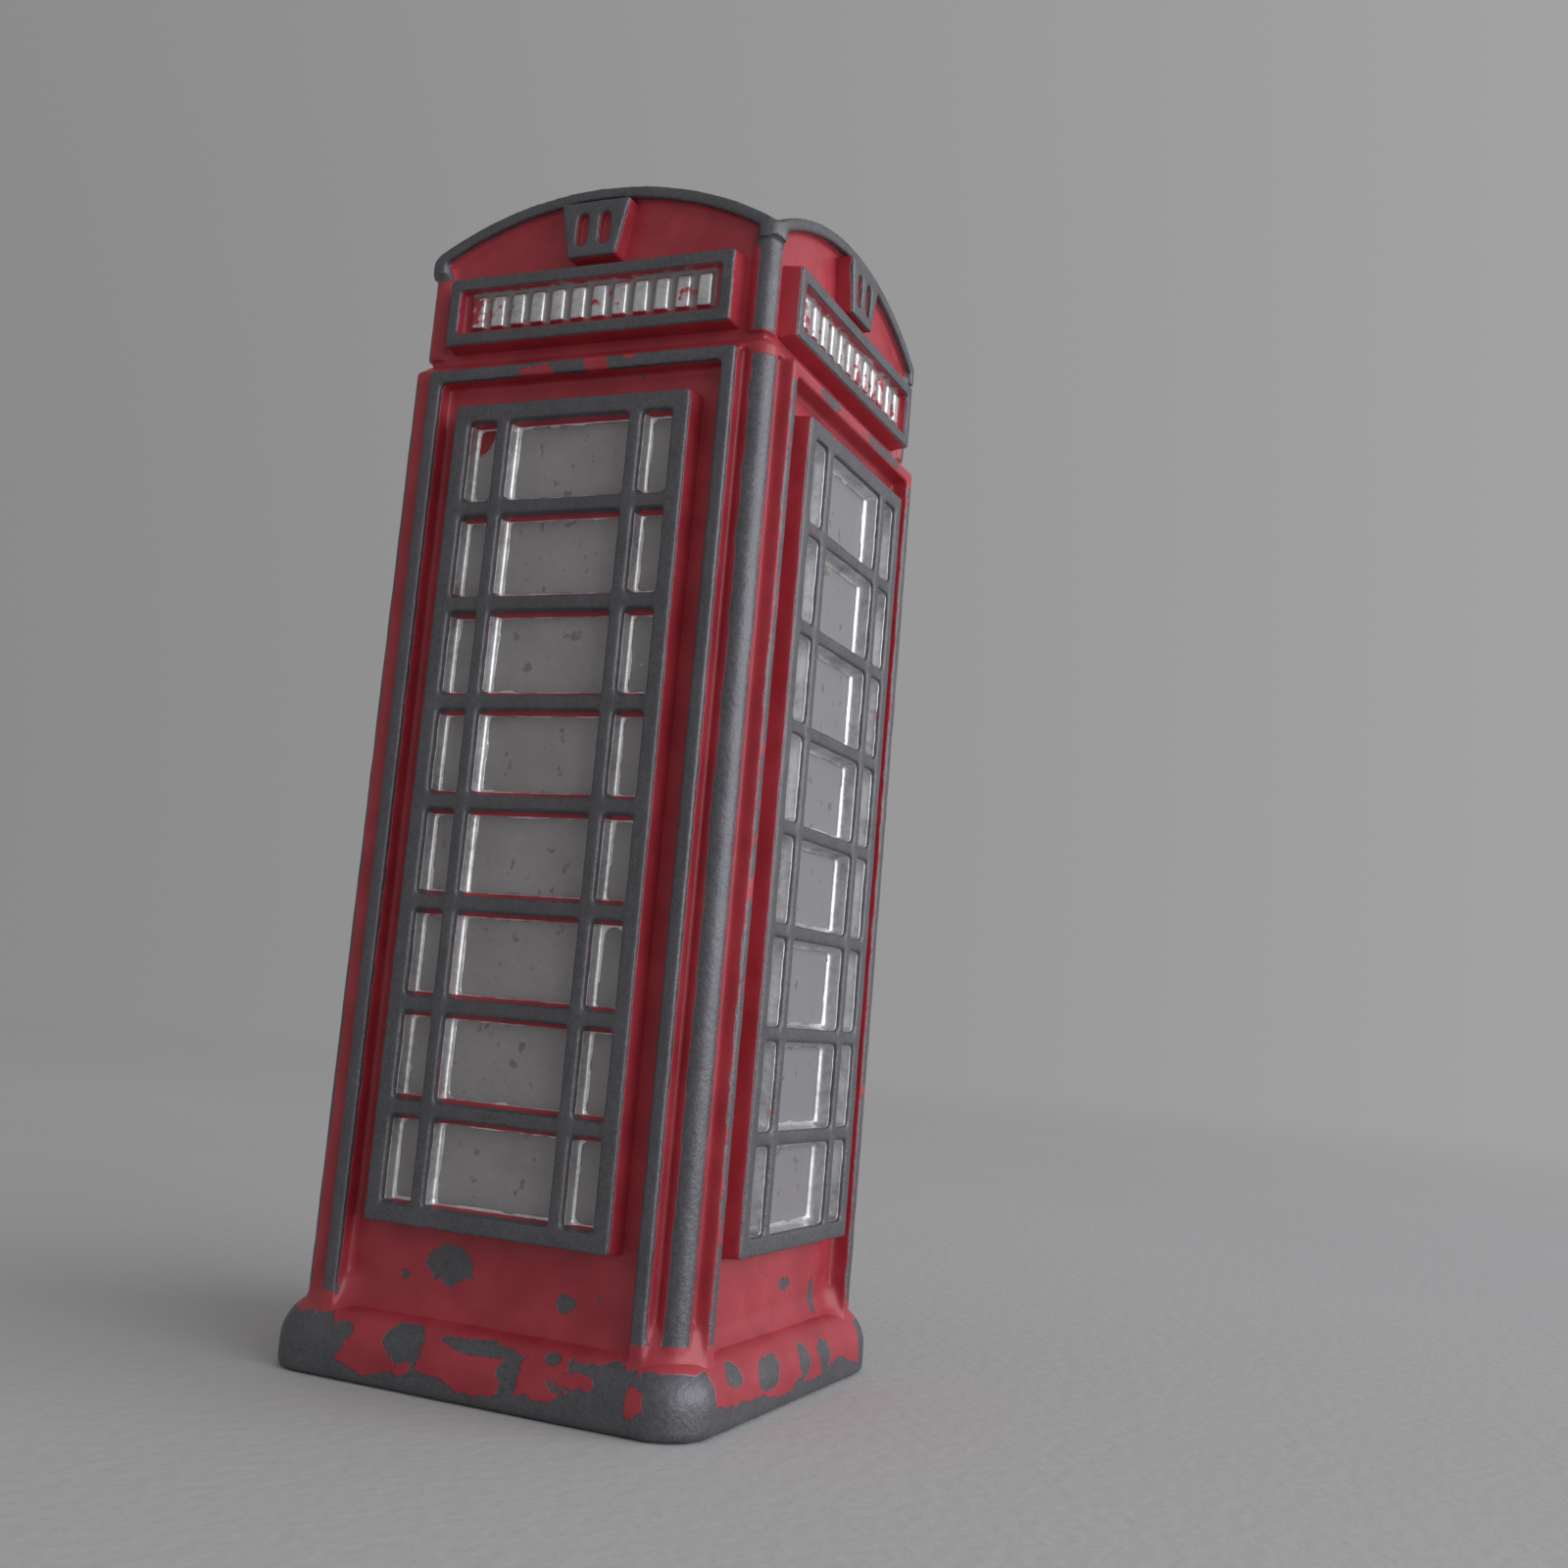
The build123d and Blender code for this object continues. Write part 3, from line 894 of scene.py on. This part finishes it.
def sign_finish():
    finish = Finish("worn_enamel_sign")
    ragged = finish.noise(0.6, 3) * 0.2
    slow = finish.noise(2.0, 2, shift=3.0)
    bare = (finish.out + ragged * 0.7 + slow * 0.1).above(sign_front - 0.14)
    middle = (sign_low.z + sign_high.z) / 2
    reach = slat_run / 2 + 0.55
    near_slats = (finish.z - middle - 0.15 + ragged).size().below(slat_height / 2 + 0.12)
    inside = (finish.aside + ragged).below(reach) * near_slats
    broken = (slow + finish.noise(0.6, 2, shift=8.0) * 0.9).above(-0.13, 0.06)
    silver = inside * broken * (finish.out + ragged * 0.5).below(sign_front - 0.2)
    # sunk floor of the sign, where the silver is made darker and duller
    low = finish.out.below(sign_front - sign_recess + 0.14, 0.06)
    return enamel_over_zinc(finish, bare, silver, low)


def keystone_finish():
    finish = Finish("worn_enamel_keystone")
    ragged = finish.noise(0.6, 3) * 0.3
    bare = (finish.out + ragged).above(badge_front - 0.22)
    return enamel_over_zinc(finish, bare)


def pane_finish():
    finish = Finish("silver_paint_panes")
    cloud = finish.noise(2.8, 3)
    grit = finish.noise(0.3, 3)
    smudge = finish.noise(0.8, 4, shift=2.0)
    near_middle = (finish.aside + cloud * 3.0).below(2.2, 0.4)
    spots = smudge.above(0.15, 0.03) * near_middle
    dusty = finish.noise(4.0, 1, shift=8.0).above(0.05, 0.1)
    red_dust = finish.noise(0.5, 3, shift=5.0).above(0.19, 0.03) * dusty
    stain = finish.chip("right", -2.0, 42.6, 1.3, 1.0) * 0.4
    corner = finish.chip("front", -5.9, 47.6, 1.2, 1.6, 0.2)
    base = finish.tint((cloud + grit * 0.4).above(0.0, 0.4), silver_dull, silver_clear)
    # painted shade: the panes on the right face, which the lamp lights, are darkened in colour
    base = finish.tint(finish.on("right") * 0.9, base, silver_shaded)
    base = finish.tint(spots * 0.5, finish.tint(stain, base, stain_yellow), stain_dark)
    colour = finish.tint((corner + red_dust * 0.4).least(1.0), base, red_deep)
    metallic = 0.25 - spots * 0.2 - corner * 0.25
    roughness = 0.55 + cloud * 0.12 + grit * 0.1
    return finish.surface(colour, metallic, roughness, grit * 0.02 + cloud * 0.03 - spots * 0.015)


def steel_finish(name, tone):
    finish = Finish(name)
    grit = finish.noise(0.25, 3)
    brushed = finish.noise(0.35, 3, stretch=(12, 0.5, 1))
    patches = finish.noise(3.5, 4, shift=6.0)
    rusted = (patches + grit * 0.25).above(tone, 0.06)
    colour = finish.tint((brushed + grit).above(0.0, 0.4), steel_dark, steel_pale)
    colour = finish.tint(rusted * 0.7, colour, rust)
    metallic = finish.mix(rusted, 0.9, 0.1)
    roughness = finish.mix(rusted, 0.38 + brushed * 0.3, 0.8)
    return finish.surface(colour, metallic, roughness, brushed * 0.015 + rusted * 0.02 * (grit + 1))


floor_radius = 4.0                     # metres
fade_middle = 300.0                    # distance at which the floor is half gone, and its spread, in mm
fade_spread = 230.0


def floor_finish():
    """Pale floor that thins away far from the object, so that no edge shows against the room."""
    finish = Finish("pale_floor")
    pebble = finish.noise(0.9, 2)
    colour = finish.tint(finish.noise(60.0, 2).above(0.0, 0.5), floor_dull, floor_clear)
    finish.surface(colour, 0.0, 0.9, pebble * 0.05)
    reach = (finish.x * finish.x + finish.y * finish.y).math("SQRT")
    finish.feed(reach.below(fade_middle, fade_spread), finish.shader.inputs["Alpha"])
    return finish.material


def room():
    """Soft pale surroundings, a little darker and warmer on the left."""
    world = bpy.data.worlds.new("room")
    world.use_nodes = True
    tree = world.node_tree
    split = tree.nodes.new("ShaderNodeSeparateXYZ")
    tree.links.new(tree.nodes.new("ShaderNodeTexCoord").outputs["Generated"], split.inputs[0])
    across = tree.nodes.new("ShaderNodeMapRange")
    across.inputs["From Min"].default_value = -1.0
    tree.links.new(split.outputs["X"], across.inputs["Value"])
    shade = tree.nodes.new("ShaderNodeMix")
    shade.data_type = "RGBA"
    shade.inputs[COLOUR_LOW].default_value = room_left
    shade.inputs[COLOUR_HIGH].default_value = room_right
    tree.links.new(across.outputs["Result"], shade.inputs[FACTOR])
    tree.links.new(shade.outputs[COLOUR_RESULT], tree.nodes["Background"].inputs["Color"])
    return world


def dress(item, material):
    item.data.materials.clear()
    item.data.materials.append(material)


# ---- pieces ----
plinth = mount(make_plinth(), "red_enamel_on_zinc", "plinth")
body = mount(make_body(), "red_enamel_on_zinc", "body")
roof = mount(make_roof(), "red_enamel_on_zinc", "roof")
back_panel = mount(turned(make_back_panel(), QUARTERS["back"]), "red_enamel_on_zinc", "back_panel")

window = make_window()
sign = make_sign()
keystone = make_keystone()
windows, signs, keystones = [], [], []
for side, degrees in QUARTERS.items():
    for pattern, made, word, node in (
        (sign, signs, "sign_casting_", "sign_"), (keystone, keystones, "keystone_", "badge_"),
    ):
        item = turned(copy_of(pattern), degrees)
        item.name = word + side
        made.append(mount(item, "red_enamel_on_zinc", node + side))
    if side != "back":
        item = turned(copy_of(window), degrees)
        item.name = "window_casting_" + side
        windows.append(mount(item, "red_enamel_on_zinc", "window_" + side))
for pattern in (window, sign, keystone):
    bpy.data.objects.remove(pattern)

for item, material in (
    (plinth, plinth_finish()), (body, body_finish()), (roof, roof_finish()),
    (back_panel, back_panel_finish()),
    (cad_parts["base_plate"], steel_finish("plate_steel", 0.12)),
    (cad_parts["base_rivets"], steel_finish("rivet_steel", 0.2)),
):
    dress(item, material)
for group, material in (
    (windows, window_finish()), (signs, sign_finish()), (keystones, keystone_finish()),
    ([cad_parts["panes_" + side] for side in ("front", "right", "left")], pane_finish()),
):
    for item in group:
        dress(item, material)

# ---- floor, light and camera ----
deselect()
bpy.ops.mesh.primitive_circle_add(vertices=96, radius=floor_radius, fill_type="NGON", location=(0, 0, 0))
floor = bpy.context.object
floor.name = "floor"
dress(floor, floor_finish())

bpy.context.scene.world = room()
bpy.context.scene.view_settings.view_transform = "Standard"


def area_light(name, place, aim, size, power, tint):
    data = bpy.data.lights.new(name, "AREA")
    data.shape = "RECTANGLE"
    data.size, data.size_y = size
    data.energy = power
    data.color = tint
    item = bpy.data.objects.new(name, data)
    bpy.context.collection.objects.link(item)
    item.location = place
    item.rotation_mode = "QUATERNION"
    item.rotation_quaternion = (Vector(aim) - Vector(place)).to_track_quat("-Z", "Y")
    return item


daylight = (0.95, 0.98, 1.0)
area_light(
    "window_light", place=(0.58, 0.0, 0.17), aim=(0, 0, 0.03), size=(0.95, 0.45), power=3.4, tint=daylight
)

# the camera stands close, with a strong perspective; places are in metres
camera_data = bpy.data.cameras.new("camera")
camera = bpy.data.objects.new("camera", camera_data)
bpy.context.collection.objects.link(camera)
camera_data.sensor_width = 36.0
camera_data.lens = 38.69
camera_data.clip_start = 0.005
camera_place = (0.04404, -0.0800, 0.01884)
camera_right = Vector((0.91504, 0.39450, 0.08411))
camera_up = Vector((-0.02244, -0.15840, 0.98712))
camera_back = -Vector((-0.40275, 0.90514, 0.13609))
axes = Matrix((camera_right, camera_up, camera_back)).transposed()
camera.matrix_world = Matrix.Translation(camera_place) @ axes.to_4x4()
bpy.context.scene.camera = camera
